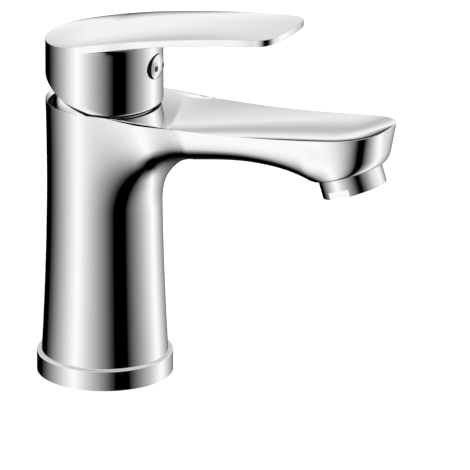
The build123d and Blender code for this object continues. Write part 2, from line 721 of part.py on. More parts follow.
# ---- Hot and cold indicator ----
with BuildPart() as indicator_cap:
    with BuildSketch(Plane.YZ):
        with BuildLine():
            back = CAP_FACE + SMALL_GAP
            Polyline((-CAP_PLUG_END, INDICATOR_Z), (-CAP_PLUG_END, INDICATOR_Z + CAP_PLUG_R),
                     (-back, INDICATOR_Z + CAP_PLUG_R), (-back, INDICATOR_Z + INDICATOR_R),
                     (-CAP_EDGE, INDICATOR_Z + INDICATOR_R))
            sag = CAP_FRONT - CAP_EDGE
            dome_r = (INDICATOR_R ** 2 + sag ** 2) / (2 * sag)
            RadiusArc((-CAP_EDGE, INDICATOR_Z + INDICATOR_R), (-CAP_FRONT, INDICATOR_Z), dome_r)
            Line((-CAP_FRONT, INDICATOR_Z), (-CAP_PLUG_END, INDICATOR_Z))
        make_face()
    revolve(axis=Axis((0, 0, INDICATOR_Z), (0, -1, 0)))
    with BuildSketch(front.offset(DOT_SEAT)):
        with Locations((-DOT_SPACING / 2, 0), (DOT_SPACING / 2, 0)):
            Circle(DOT_R)
    extrude(amount=5, mode=Mode.SUBTRACT)
save(indicator_cap.part, "indicator_cap")

for name, x in (("cold_mark", -DOT_SPACING / 2), ("hot_mark", DOT_SPACING / 2)):
    with BuildPart() as mark:
        with BuildSketch(front.offset(DOT_SEAT + 0.02)):
            with Locations((x, 0)):
                Circle(DOT_R - 0.01)
        extrude(amount=DOT_H)
    save(mark.part, name)

# ---- Aerator: housing, washer, flow regulator, insert and outlet screen ----
with BuildPart() as aerator_housing:
    with BuildSketch(aerator_plane.offset(SMALL_GAP)):
        Circle(AERATOR_R)
    extrude(amount=AERATOR_DROP - SMALL_GAP)
    fillet(aerator_housing.edges().filter_by(GeomType.CIRCLE), radius=HOUSING_ROUND)
    with BuildSketch(aerator_plane.offset(AERATOR_DROP - FLAT_H)):
        with Locations((-FLAT_DISTANCE - 5, 0), (FLAT_DISTANCE + 5, 0)):
            Rectangle(10, 40)
    extrude(amount=5, mode=Mode.SUBTRACT)
    with BuildSketch(aerator_plane.offset(-AERATOR_THREAD_L)):
        Circle(AERATOR_THREAD_R - 0.05)
    extrude(amount=AERATOR_THREAD_L + 1)
    with BuildSketch(aerator_plane.offset(-AERATOR_THREAD_L)):
        Circle(HOUSING_IN_R)
    extrude(amount=AERATOR_THREAD_L + AERATOR_DROP - OUTLET_LIP, mode=Mode.SUBTRACT)
    with BuildSketch(aerator_plane):
        Circle(OUTLET_R)
    extrude(amount=20, mode=Mode.SUBTRACT)
save(aerator_housing.part, "aerator_housing")

with BuildPart() as aerator_washer:
    with BuildSketch(aerator_plane.offset(-AERATOR_THREAD_L - WASHER_H - 0.05)):
        Circle(AERATOR_THREAD_R - 0.1)
        Circle(WASHER_IN_R, mode=Mode.SUBTRACT)
    extrude(amount=WASHER_H)
save(aerator_washer.part, "aerator_washer")

with BuildPart() as flow_regulator:
    with BuildSketch(aerator_plane.offset(REGULATOR_TOP)):
        Circle(FILTER_R)
        with PolarLocations(6.8, 10):
            Circle(1.3, mode=Mode.SUBTRACT)
    extrude(amount=REGULATOR_H)
save(flow_regulator.part, "flow_regulator")

with BuildPart() as aerator_insert:
    with BuildSketch(aerator_plane.offset(INSERT_TOP)):
        Circle(FILTER_R)
        with PolarLocations(7.0, 16):
            Circle(0.7, mode=Mode.SUBTRACT)
    extrude(amount=INSERT_PLATE_H)
    with BuildSketch(aerator_plane.offset(INSERT_TOP + INSERT_PLATE_H - 0.05)):
        Circle(FILTER_R)
        Circle(INSERT_WALL_R, mode=Mode.SUBTRACT)
    extrude(amount=SCREEN_TOP + SCREEN_H + 0.1 - INSERT_TOP - INSERT_PLATE_H)
save(aerator_insert.part, "aerator_insert")

with BuildPart() as aerator_screen:
    with BuildSketch(aerator_plane.offset(SCREEN_TOP)):
        Circle(SCREEN_R)
        with HexLocations(MESH_PITCH, 7, 7):
            RegularPolygon(MESH_R, 6, mode=Mode.SUBTRACT)
    extrude(amount=SCREEN_H)
save(aerator_screen.part, "aerator_screen")
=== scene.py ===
"""Looks of a single-lever basin mixer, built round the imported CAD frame."""
import math

import bmesh
import bpy
import numpy as np
from mathutils import Matrix, Vector


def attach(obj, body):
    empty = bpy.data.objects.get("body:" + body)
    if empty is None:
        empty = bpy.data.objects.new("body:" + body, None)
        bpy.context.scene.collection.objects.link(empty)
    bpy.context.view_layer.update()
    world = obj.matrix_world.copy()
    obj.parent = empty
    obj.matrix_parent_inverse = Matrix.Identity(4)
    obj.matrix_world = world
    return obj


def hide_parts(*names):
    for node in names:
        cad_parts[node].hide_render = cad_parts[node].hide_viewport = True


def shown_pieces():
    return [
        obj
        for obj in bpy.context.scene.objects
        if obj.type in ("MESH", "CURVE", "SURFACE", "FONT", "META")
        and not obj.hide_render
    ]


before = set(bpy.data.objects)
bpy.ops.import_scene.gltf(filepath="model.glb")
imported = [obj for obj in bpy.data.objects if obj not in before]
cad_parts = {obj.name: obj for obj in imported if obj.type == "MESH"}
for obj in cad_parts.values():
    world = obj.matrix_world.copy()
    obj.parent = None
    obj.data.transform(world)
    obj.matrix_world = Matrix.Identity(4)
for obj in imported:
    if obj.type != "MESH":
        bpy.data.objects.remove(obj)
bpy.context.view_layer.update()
MM = 0.001

# Lengths below are in millimetres. "reach" is the distance forward of the column's axis, -Y,
# and "side" is across, with the half on the -X side drawn first and mirrored.

# Column, rim, collar and the bore for the cartridge.
RING_H, SEAL_H = 8.8, 2.02
FOOT_R, FOOT_POWER, WAIST_R, WAIST_Z = 25.8, 1.75, 23.5, 82.0
RIM_R, RIM_Z, LEDGE_Z, LEDGE_R = 24.0, 117.1, 114.8, 21.3
COLLAR_R, COLLAR_FOOT_R, COLLAR_DROP, COLLAR_BLEND = 23.1, 24.9, 10.5, 1.2
NUT_R, NUT_Z, SEAT_Z = 20.1, 110.0, 79.9
SPIGOT_R, CAVITY_R, LAP = 24.5, 21.0, 0.3
EDGE_SOFT = 0.4

# Floor of the waterways in the foot, with its threads.
WEB_Z, WEB_TOP, WEB_GAP = 46.0, 60.0, 0.02
INLET_R, INLET_SIDE, INLET_REACH = 4.5, 9.5, -4.0
STUD_R, STUD_REACH, THREAD_L = 3.4, 11.0, 12.0

# Elbow: its arc, the rounding of its underside and how far its sides lean in.
ELBOW_R, ELBOW_REACH, ELBOW_Z, ELBOW_SWEEP = 28.0, 52.0, 73.0, math.radians(80.0)
ELBOW_EASE_TURN, ELBOW_EASE_SLOPE = 0.9, 0.324
MIX_START, MIX_END = 0.15, 1.05
CORNER_START, CORNER_END = 20.5, 15.9
ROUND_START, ROUND_GAIN, ROUND_END = 2.0, 0.8, 2.8
LEAN, LEAN_START = 0.08, 0.52

# Spout: the plan of its top edge, the rise of that edge and the line of its underside.
SIDE_START, SIDE_HALF, SIDE_TAPER, SIDE_CURVE = 10.0, 22.55, 0.036, 0.00002
RIM_END, SIDE_FROM = 5.0, 15.0
SPOUT_TIP, TIP_START, TIP_POWER = 131.2, 106.0, 3.0
EDGE_START, EDGE_RISE, EDGE_POWER = 35.0, 8.8, 1.75
UNDER_MID, UNDER_END_SLOPE = (76.0, 104.2), -0.38
UPRIGHT_FROM, UPRIGHT_BY, SPOUT_CORNER = 40.0, 66.0, 0.95
NOSE_LEAN, NOSE_CORNER, NOSE_ROUND = 0.52, 0.6, 0.6
DISH_REACH, DISH_Z, DISH_TIP_Z, DISH_RISE, DISH_POWER = 26.0, 104.6, 122.0, 0.86, 2.0
RIM_FADE = (1.0, 8.0)

# Aerator boss, tilted forward.
BOSS_R, AERATOR_REACH, AERATOR_Z, AERATOR_TILT = 14.7, 113.4, 105.3, math.radians(18.5)
AERATOR_THREAD_R, SOCKET_L = 12.0, 8.1
BOSS_START = AERATOR_REACH - BOSS_R * math.cos(AERATOR_TILT)
BOSS_START_Z = AERATOR_Z - BOSS_R * math.sin(AERATOR_TILT)

# Handle: the hub with its lip and cavity.
PIVOT_Z = 110.0
HUB_R, HUB_LIP_R, HUB_LIP_Z, HUB_FULL_Z = 24.0, 22.0, 115.4, 121.3
HUB_CLEAR_R, HUB_CAVITY_R, HUB_ROOF_Z = 21.7, 20.6, 139.5
HUB_EDGE_Z, HUB_EDGE_R, HUB_EDGE_H = 116.7, 23.2, 1.1
FRONT_LIP = (math.radians(55.0), math.radians(85.0))
TILT_CUT_Z, TILT_CUT_SLOPE = 118.4, 0.466
SKIN_POINTS = 30
GRIP_TILT, GRIP_BORE_R, GRIP_R, GRIP_LOW, GRIP_HIGH = math.radians(12.5), 7.05, 10.5, 23.2, 30.4

# Handle: the lever.
LEVER_TIP, LEVER_WALL, LEVER_TIP_WALL, LEVER_ROOT = 86.5, 3.9, 3.0, 20.0
LEVER_TOP_Z, LEVER_SLOPE, LEVER_BEND, LEVER_DROOP, LEVER_BACK_RISE = 146.6, 0.25082, 0.000874, 0.00000117, 3.1
CROWN, CROWN_POWER, EDGE_DROP, CROWN_FADE = 0.95, 3.2, 0.6, (35.0, 90.0)
SPINE = (-6.0, 72.0)
TOP_SOFT, UNDER_SOFT, HUB_FILLET = 0.35, 0.4, 3.0
FILLET_GROWTH, SOFT_GROWTH = (0.0, 26.0), (0.3, 3.0)

# Indicator cap and its two dots.
CAP_FACE, CAP_Z, CAP_R, RECESS_R, RECESS_OVAL = 22.0, 134.3, 5.1, 5.25, 1.16
CAP_EDGE, CAP_FRONT, CAP_PLUG_R, CAP_PLUG_END = 24.75, 26.05, 2.7, 19.5
DOT_R, DOT_SIDE, DOT_DEPTH, DOT_EDGE, DOT_PROUD, DOT_BEVEL = 1.2, 2.45, 0.7, 0.1, 0.17, 0.15
FORWARD = -math.pi / 2

# Camera, in degrees and metres.
CAMERA_AZIMUTH, CAMERA_ELEVATION = -61.0, 20.0
CAMERA_DISTANCE, VIEW_WIDTH, TARGET_RIGHT, TARGET_UP = 8.0, 0.1917, 0.0530, 0.0540
CEILING_LOW, CEILING_HIGH, CEILING_LIFT = 0.45, 0.53, 0.1

# Degrees past which an edge stays sharp, the weld distance of the castings, and how finely they are drawn.
BODY_SHARP, HANDLE_SHARP, TURNED_SHARP, CAST_WELD = 40.0, 38.0, 32.0, 0.012
FINE, ACROSS, DISH_POINTS, BOSS_STEPS, BACK_STEPS = 750, 84, 110, 72, 48
LEVER_STEPS, LEVER_BACK_STEPS = 120, 60


# ---------------------------------------------------------------- curves and meshes
def smoothstep(x, low, high):
    t = np.clip((x - low) / (high - low), 0.0, 1.0)
    return t * t * (3.0 - 2.0 * t)


def hermite(x, x0, y0, m0, x1, y1, m1):
    """Cubic from (x0, y0) with slope m0 to (x1, y1) with slope m1."""
    h = x1 - x0
    t = (x - x0) / h
    a = (1 + 2 * t) * (1 - t) ** 2 * y0 + t * (1 - t) ** 2 * h * m0
    return a + t * t * (3 - 2 * t) * y1 + t * t * (t - 1) * h * m1


def resample(points, count):
    """The same line with evenly spaced points."""
    points = np.asarray(points, float)
    steps = np.linalg.norm(np.diff(points, axis=0), axis=1)
    along = np.concatenate([[0.0], np.cumsum(steps)])
    wanted = np.linspace(0.0, along[-1], count)
    return np.stack([np.interp(wanted, along, points[:, i]) for i in range(3)], axis=1)


def to_frame(points):
    """(side, reach, height) in millimetres to the row frame in metres."""
    points = np.asarray(points, float).reshape(-1, 3)
    return np.stack([points[:, 0], -points[:, 1], points[:, 2]], axis=1) * MM


class Shell:
    """Collects patches of points and faces, then makes one welded mesh. A look is a material's index."""

    def __init__(self):
        self.points, self.faces, self.looks, self.count = [], [], [], 0

    def grid(self, rows, flip=False, wrap=False, look=0):
        rows = np.asarray(rows, float)
        n, m = rows.shape[:2]
        base = self.count
        self.points.append(rows.reshape(-1, 3))
        self.count += n * m
        for i in range(n if wrap else n - 1):
            for j in range(m - 1):
                a, b = base + i * m + j, base + ((i + 1) % n) * m + j
                quad = (a, a + 1, b + 1, b)
                self.faces.append(quad[::-1] if flip else quad)
                self.looks.append(look)

    def both_sides(self, rows, flip=False, look=0):
        rows = np.asarray(rows, float)
        self.grid(rows, flip, look=look)
        mirrored = rows * np.array([-1.0, 1.0, 1.0])
        self.grid(mirrored, not flip, look=look)

    def build(self, name, materials, weld=0.004, sharp=TURNED_SHARP):
        mesh = bpy.data.meshes.new(name)
        mesh.from_pydata(to_frame(np.concatenate(self.points)).tolist(), [], self.faces)
        for material in materials:
            mesh.materials.append(material)
        mesh.polygons.foreach_set("material_index", self.looks)
        ob = bpy.data.objects.new(name, mesh)
        bpy.context.scene.collection.objects.link(ob)
        bm = bmesh.new()
        bm.from_mesh(mesh)
        bmesh.ops.remove_doubles(bm, verts=bm.verts, dist=weld * MM)
        bmesh.ops.dissolve_degenerate(bm, edges=bm.edges, dist=weld * MM)
        bmesh.ops.recalc_face_normals(bm, faces=bm.faces)
        bm.to_mesh(mesh)
        bm.free()
        shade(ob, sharp)
        return ob


def shade(ob, sharp):
    """Smooth shading, broken at the edges sharper than that many degrees."""
    ob.data.polygons.foreach_set("use_smooth", [True] * len(ob.data.polygons))
    ob.data.set_sharp_from_angle(angle=math.radians(sharp))


def apply_modifiers(ob):
    graph = bpy.context.evaluated_depsgraph_get()
    mesh = bpy.data.meshes.new_from_object(ob.evaluated_get(graph))
    ob.modifiers.clear()
    old = ob.data
    ob.data = mesh
    mesh.name = old.name
    bpy.data.meshes.remove(old)


def rod(name, start, end, radius, segments=96):
    """Plain cylinder between two points, as a cutter or a blank."""
    start, end = Vector(to_frame([start])[0]), Vector(to_frame([end])[0])
    bpy.ops.mesh.primitive_cylinder_add(radius=radius * MM, depth=(end - start).length, vertices=segments)
    ob = bpy.context.object
    ob.name = name
    ob.rotation_mode = "QUATERNION"
    ob.rotation_quaternion = (end - start).to_track_quat("Z", "Y")
    ob.location = (start + end) / 2
    bpy.context.view_layer.update()
    ob.data.transform(ob.matrix_world)
    ob.matrix_world = Matrix.Identity(4)
    return ob


def cut(ob, cutters):
    """Cuts the solids out of a mesh."""
    for cutter in cutters:
        mod = ob.modifiers.new("cut", "BOOLEAN")
        mod.operation = "DIFFERENCE"
        mod.solver = "EXACT"
        mod.object = cutter
        bpy.context.view_layer.update()
        apply_modifiers(ob)
        bpy.data.objects.remove(cutter, do_unlink=True)


def lathe(name, profile, material, segments=160, origin=(0, 0, 0), tilt=0.0):
    """Turned piece: profile is a closed list of (radius, height) about an upright axis."""
    shell = Shell()
    turns = np.linspace(0, 2 * math.pi, segments, endpoint=False)
    profile = np.asarray(list(profile) + [profile[0]], float)
    rows = []
    for a in turns:
        x, f, z = profile[:, 0] * math.sin(a), profile[:, 0] * math.cos(a), profile[:, 1]
        forward = f * math.cos(tilt) - z * math.sin(tilt)
        up = f * math.sin(tilt) + z * math.cos(tilt)
        rows.append(np.stack([x + origin[0], forward + origin[1], up + origin[2]], axis=1))
    shell.grid(rows, wrap=True)
    return shell.build(name, [material])


# ---------------------------------------------------------------- materials
def new_material(name):
    mat = bpy.data.materials.new(name)
    mat.use_nodes = True
    tree = mat.node_tree
    return mat, tree.nodes, tree.links, tree.nodes["Principled BSDF"]


def chrome(name, color=(0.86, 0.865, 0.87), rough=(0.025, 0.07), polish=0.0):
    """Bright plating: faint cloudy variation of gloss, with fine polishing hairlines."""
    mat, nodes, links, shader = new_material(name)
    shader.inputs["Metallic"].default_value = 1.0
    shader.inputs["Base Color"].default_value = (*color, 1.0)
    place = nodes.new("ShaderNodeTexCoord")
    cloud = nodes.new("ShaderNodeTexNoise")
    cloud.inputs["Scale"].default_value = 55.0
    cloud.inputs["Detail"].default_value = 5.0
    spread = nodes.new("ShaderNodeMapRange")
    spread.inputs["To Min"].default_value, spread.inputs["To Max"].default_value = rough
    links.new(place.outputs["Object"], cloud.inputs["Vector"])
    links.new(cloud.outputs["Fac"], spread.inputs["Value"])
    links.new(spread.outputs["Result"], shader.inputs["Roughness"])
    if polish:
        stretch = nodes.new("ShaderNodeMapping")
        stretch.inputs["Scale"].default_value = (900.0, 900.0, 60.0)
        hair = nodes.new("ShaderNodeTexNoise")
        hair.inputs["Scale"].default_value = 1.0
        bump = nodes.new("ShaderNodeBump")
        bump.inputs["Strength"].default_value = polish
        bump.inputs["Distance"].default_value = 0.00002
        links.new(place.outputs["Object"], stretch.inputs["Vector"])
        links.new(stretch.outputs["Vector"], hair.inputs["Vector"])
        links.new(hair.outputs["Fac"], bump.inputs["Height"])
        links.new(bump.outputs["Normal"], shader.inputs["Normal"])
    return mat


def plain(name, color, vary, rough, metallic=0.0, scale=120.0, bump_depth=0.00005, coat=0.0):
    """Cast, turned or moulded stock: mottled colour, uneven gloss and a fine surface grain."""
    mat, nodes, links, shader = new_material(name)
    shader.inputs["Metallic"].default_value = metallic
    shader.inputs["Coat Weight"].default_value = coat
    place = nodes.new("ShaderNodeTexCoord")
    noise = nodes.new("ShaderNodeTexNoise")
    noise.inputs["Scale"].default_value = scale
    noise.inputs["Detail"].default_value = 6.0
    ramp = nodes.new("ShaderNodeValToRGB")
    dark = [c * (1.0 - vary) for c in color]
    ramp.color_ramp.elements[0].position = 0.3
    ramp.color_ramp.elements[1].position = 0.7
    ramp.color_ramp.elements[0].color = (*dark, 1.0)
    ramp.color_ramp.elements[1].color = (*color, 1.0)
    gloss = nodes.new("ShaderNodeMapRange")
    gloss.inputs["To Min"].default_value, gloss.inputs["To Max"].default_value = rough
    bump = nodes.new("ShaderNodeBump")
    bump.inputs["Strength"].default_value = 0.3
    bump.inputs["Distance"].default_value = bump_depth
    links.new(place.outputs["Object"], noise.inputs["Vector"])
    links.new(noise.outputs["Fac"], ramp.inputs["Fac"])
    links.new(ramp.outputs["Color"], shader.inputs["Base Color"])
    links.new(noise.outputs["Fac"], gloss.inputs["Value"])
    links.new(gloss.outputs["Result"], shader.inputs["Roughness"])
    links.new(noise.outputs["Fac"], bump.inputs["Height"])
    links.new(bump.outputs["Normal"], shader.inputs["Normal"])
    return mat


BODY_CHROME = chrome("body_chrome")
HANDLE_CHROME = chrome("handle_chrome")
TRIM_CHROME = chrome("trim_chrome", rough=(0.03, 0.09), polish=0.25)
# Painted shade: a near-black material for gaps and hollows, standing in for the shade and dark reflections in
# them.
PAINTED_GAP_SHADE = plain("painted_gap_shade", (0.012, 0.012, 0.013), 0.3, (0.75, 0.9))
PAINTED_GAP_SHADE.node_tree.nodes["Principled BSDF"].inputs["Specular IOR Level"].default_value = 0.02
CAP_CHROME = chrome("cap_chrome", rough=(0.12, 0.2))
BRASS = plain("raw_brass", (0.72, 0.53, 0.22), 0.25, (0.22, 0.4), metallic=1.0, scale=300.0)
STEEL = plain("plain_steel", (0.6, 0.6, 0.58), 0.15, (0.2, 0.35), metallic=1.0, scale=500.0)
RUBBER = plain("nitrile", (0.025, 0.025, 0.028), 0.4, (0.55, 0.75), scale=400.0)
WHITE = plain("white_acetal", (0.82, 0.82, 0.79), 0.06, (0.32, 0.45), scale=200.0)
GREY = plain("grey_nylon", (0.25, 0.26, 0.28), 0.2, (0.4, 0.55), scale=260.0)
CERAMIC = plain("alumina", (0.86, 0.84, 0.78), 0.05, (0.12, 0.22), scale=600.0, coat=0.4)
CERAMIC_DARK = plain("alumina_grey", (0.6, 0.58, 0.53), 0.08, (0.12, 0.22), scale=600.0, coat=0.4)
BLUE = plain("blue_enamel", (0.012, 0.012, 0.14), 0.25, (0.35, 0.5), scale=900.0)
RED = plain("red_enamel", (0.5, 0.06, 0.02), 0.2, (0.35, 0.5), scale=900.0)


# ---------------------------------------------------------------- body
def column_radius(z):
    low = np.clip((WAIST_Z - z) / (WAIST_Z - RING_H), 0.0, None) ** FOOT_POWER
    high = np.clip((z - WAIST_Z) / (RIM_Z - WAIST_Z), 0.0, None) ** 2
    return WAIST_R + (FOOT_R - WAIST_R) * low + (RIM_R - WAIST_R) * high


def spout_side(reach):
    """Half-width of the spout's straight taper."""
    past = np.clip(reach - SIDE_START, 0.0, None)
    return SIDE_HALF - SIDE_TAPER * past - SIDE_CURVE * past * past


def spout_half(reach):
    """Half-width of the top edge: the round rim, then the straight taper of the spout."""
    rim = np.sqrt(np.clip(RIM_R ** 2 - np.clip(reach, -RIM_R, RIM_END) ** 2, 0.0, None))
    rim_half = math.sqrt(RIM_R ** 2 - RIM_END ** 2)
    start = (RIM_END, rim_half, -RIM_END / rim_half)
    end = (SIDE_FROM, float(spout_side(SIDE_FROM)), -SIDE_TAPER)
    joined = hermite(np.clip(reach, RIM_END, SIDE_FROM), *start, *end)
    return np.where(reach < RIM_END, rim, np.where(reach < SIDE_FROM, joined, spout_side(reach)))


def edge_height(reach):
    share = np.clip(reach - EDGE_START, 0.0, None) / (SPOUT_TIP - EDGE_START)
    return RIM_Z + EDGE_RISE * share ** EDGE_POWER


def rounding(x, power):
    """0 at x = 0 and 1 from x = 1 on, round like a superellipse's corner."""
    x = np.clip(x, 0.0, 1.0)
    return (1.0 - (1.0 - x) ** power) ** (1.0 / power)


def elbow_section(turn, count):
    """Half a section of the elbow, from the underside's middle to the column's side or the rim."""
    c, s = math.cos(turn), math.sin(turn)
    arc_r = ELBOW_R
    if turn < ELBOW_EASE_TURN:
        start_gap = ELBOW_REACH - float(column_radius(ELBOW_Z))
        arc_r = float(hermite(turn, 0.0, start_gap, ELBOW_EASE_SLOPE, ELBOW_EASE_TURN, ELBOW_R, 0.0))
    reach0, z0 = ELBOW_REACH - arc_r * c, ELBOW_Z + arc_r * s
    half_axis = reach0 / c
    d = half_axis * np.linspace(0.0, 1.0, 2 * FINE) ** 2
    reach, z = reach0 - c * d, z0 + s * d
    radius = column_radius(np.minimum(z, RIM_Z))
    oval = radius * np.sqrt(np.clip(1.0 - (1.0 - d / half_axis) ** 2, 0.0, 1.0))
    share = turn / ELBOW_SWEEP
    corner = CORNER_START + (CORNER_END - CORNER_START) * share
    lean = LEAN * float(smoothstep(share, LEAN_START, 1.0))
    depth = max((RIM_Z - z0) / max(s, 0.2), corner)
    power = ROUND_START + ROUND_GAIN * share
    full = (1.0 - lean) * rounding(d / corner, power) + lean * np.clip(d / depth, 0.0, 1.0)
    mix = smoothstep(share, MIX_START, MIX_END)
    x = oval * (1.0 - mix) + spout_half(reach) * radius / RIM_R * full * mix
    line = np.stack([-x, reach, z], axis=1)[z <= edge_height(reach) + 1e-9]
    at_side = math.tan(turn) * ELBOW_REACH + ELBOW_Z <= RIM_Z + 1e-6
    if at_side:
        line[-1, 0], line[-1, 1] = -float(column_radius(line[-1, 2])), 0.0
    else:
        line[-1, 2] = edge_height(line[-1, 1])
        line[-1, 0] = -spout_half(line[-1, 1])
    return resample(line, count)


def under_line(reach):
    """Height of the spout's underside along its middle."""
    start_reach = ELBOW_REACH - ELBOW_R * math.cos(ELBOW_SWEEP)
    start_z = ELBOW_Z + ELBOW_R * math.sin(ELBOW_SWEEP)
    slope = 1.0 / math.tan(ELBOW_SWEEP)
    first = hermite(reach, start_reach, start_z, slope, *UNDER_MID, 0.0)
    last = hermite(reach, *UNDER_MID, 0.0, BOSS_START, BOSS_START_Z, UNDER_END_SLOPE)
    return np.where(reach < UNDER_MID[0], first, last)


def leaning(lean, corner, power):
    """How far up (0 to 1) and how far out (0 to 1) a section of the spout goes, as two arrays."""
    v = np.linspace(0.0, 1.0, FINE) ** 2
    return v, (1.0 - lean) * rounding(v / corner, power) + lean * v


def straight_section(reach, count):
    """Half a section of the straight spout, leaning back with the elbow where it starts."""
    z0 = float(under_line(reach))
    turn = ELBOW_SWEEP + (math.pi / 2 - ELBOW_SWEEP) * float(smoothstep(reach, UPRIGHT_FROM, UPRIGHT_BY))
    top_reach = reach
    for _ in range(12):
        top_reach = reach - (float(edge_height(top_reach)) - z0) / math.tan(turn)
    v, out = leaning(LEAN, SPOUT_CORNER, ROUND_END)
    side = -float(spout_half(top_reach)) * out
    height = z0 + (float(edge_height(top_reach)) - z0) * v
    return resample(np.stack([side, reach + (top_reach - reach) * v, height], axis=1), count)


def tip_edge(share):
    """A point of the top edge round the tip; share is 0 at the boss's start and 1 at the nose."""
    bend = np.linspace(0.0, math.pi / 2, 400)
    reach = TIP_START + (SPOUT_TIP - TIP_START) * np.sin(bend) ** (2 / TIP_POWER)
    side = spout_half(reach) * np.cos(bend) ** (2 / TIP_POWER)
    reach = np.concatenate([[BOSS_START], reach])
    side = np.concatenate([[float(spout_half(BOSS_START))], side])
    along = np.concatenate([[0.0], np.cumsum(np.hypot(np.diff(reach), np.diff(side)))])
    at = share * along[-1]
    r = float(np.interp(at, along, reach))
    return -float(np.interp(at, along, side)), r, float(edge_height(r))


def boss_section(share, count):
    """From the round lower rim of the aerator boss, up to the top edge."""
    angle = math.pi * (1.0 - share)
    side, along = BOSS_R * math.sin(angle), BOSS_R * math.cos(angle)
    foot = np.array([-side, AERATOR_REACH + along * math.cos(AERATOR_TILT),
                     AERATOR_Z + along * math.sin(AERATOR_TILT)])
    top = np.array(tip_edge(share))
    change = float(smoothstep(share, 0.0, 0.5))
    lean, corner = LEAN + NOSE_LEAN * change, SPOUT_CORNER - NOSE_CORNER * change
    power = ROUND_END - NOSE_ROUND * change
    v, out = leaning(lean, corner, power)
    line = np.empty((len(v), 3))
    line[:, :2] = foot[:2] + (top[:2] - foot[:2]) * out[:, None]
    line[:, 2] = foot[2] + (top[2] - foot[2]) * v
    return resample(line, count)


def dish_height(side, reach):
    """Height of the hollow top of the spout, with the collar's flare rising out of it."""
    radius = np.hypot(side, reach)
    share = np.clip((reach - TIP_START) / (SPOUT_TIP - TIP_START), 0.0, 1.0)
    across = np.clip(np.abs(side) / np.maximum(spout_half(reach), 1.0), 0.0, 1.0)
    out = np.clip(across ** TIP_POWER + share ** TIP_POWER, 0.0, 1.0) ** (1.0 / TIP_POWER)
    far = np.clip(reach - DISH_REACH, 0.0, None) / (SPOUT_TIP - DISH_REACH)
    floor = DISH_Z + (DISH_TIP_Z - DISH_Z) * far ** DISH_RISE
    top = edge_height(reach)
    dish = floor + (top - floor) * out ** DISH_POWER
    cone = LEDGE_Z - COLLAR_DROP * np.clip((radius - COLLAR_R) / (COLLAR_FOOT_R - COLLAR_R), 0.0, 4.0)
    gap = np.clip(0.5 + 0.5 * (cone - dish) / COLLAR_BLEND, 0.0, 1.0)
    front = dish + (cone - dish) * gap + COLLAR_BLEND * gap * (1.0 - gap)
    rim = LEDGE_Z + (RIM_Z - LEDGE_Z) * np.clip((radius - COLLAR_R) / (RIM_R - COLLAR_R), 0.0, 1.0)
    mix = smoothstep(reach, *RIM_FADE)
    return rim * (1.0 - mix) + front * mix


def shorten(line, length, count):
    """The line without its last bit of that length, evenly spaced."""
    steps = np.linalg.norm(np.diff(line, axis=0), axis=1)
    along = np.concatenate([[0.0], np.cumsum(steps)])
    wanted = np.linspace(0.0, along[-1] - length, count)
    return np.stack([np.interp(wanted, along, line[:, i]) for i in range(3)], axis=1)


def soft_edge(before, edge, after, count=6):
    """Rounded edge from one face to the next."""
    t = np.linspace(0.0, 1.0, count)[:, None]
    return before * (1 - t) ** 2 + edge * 2 * t * (1 - t) + after * t ** 2


def polar(radius, angle, z):
    """A point at an angle round the column from its front, on the -X side."""
    return [-radius * math.sin(angle), radius * math.cos(angle), z]


def body_sections(count):
    """Half sections of the skin from the foot to the nose, and how many of them end at the side."""
    corner_turn = math.atan((RIM_Z - ELBOW_Z) / ELBOW_REACH)
    sections = []
    for z in np.linspace(RING_H - LAP, ELBOW_Z, 46)[:-1]:
        r = float(column_radius(max(z, RING_H)))
        sections.append(np.array([polar(r, a, z) for a in np.linspace(0.0, math.pi / 2, count)]))
    for turn in np.linspace(0.0, corner_turn - 0.015, 34):
        sections.append(elbow_section(float(turn), count))
    sections.append(elbow_section(corner_turn, count))
    sides = len(sections)
    for turn in np.linspace(corner_turn, ELBOW_SWEEP, 36)[1:]:
        sections.append(elbow_section(float(turn), count))
    start = ELBOW_REACH - ELBOW_R * math.cos(ELBOW_SWEEP)
    for reach in np.linspace(start, BOSS_START, 42)[1:-1]:
        sections.append(straight_section(float(reach), count))
    for share in np.linspace(0.0, 1.0, BOSS_STEPS):
        sections.append(boss_section(float(share), count))
    return sections, sides


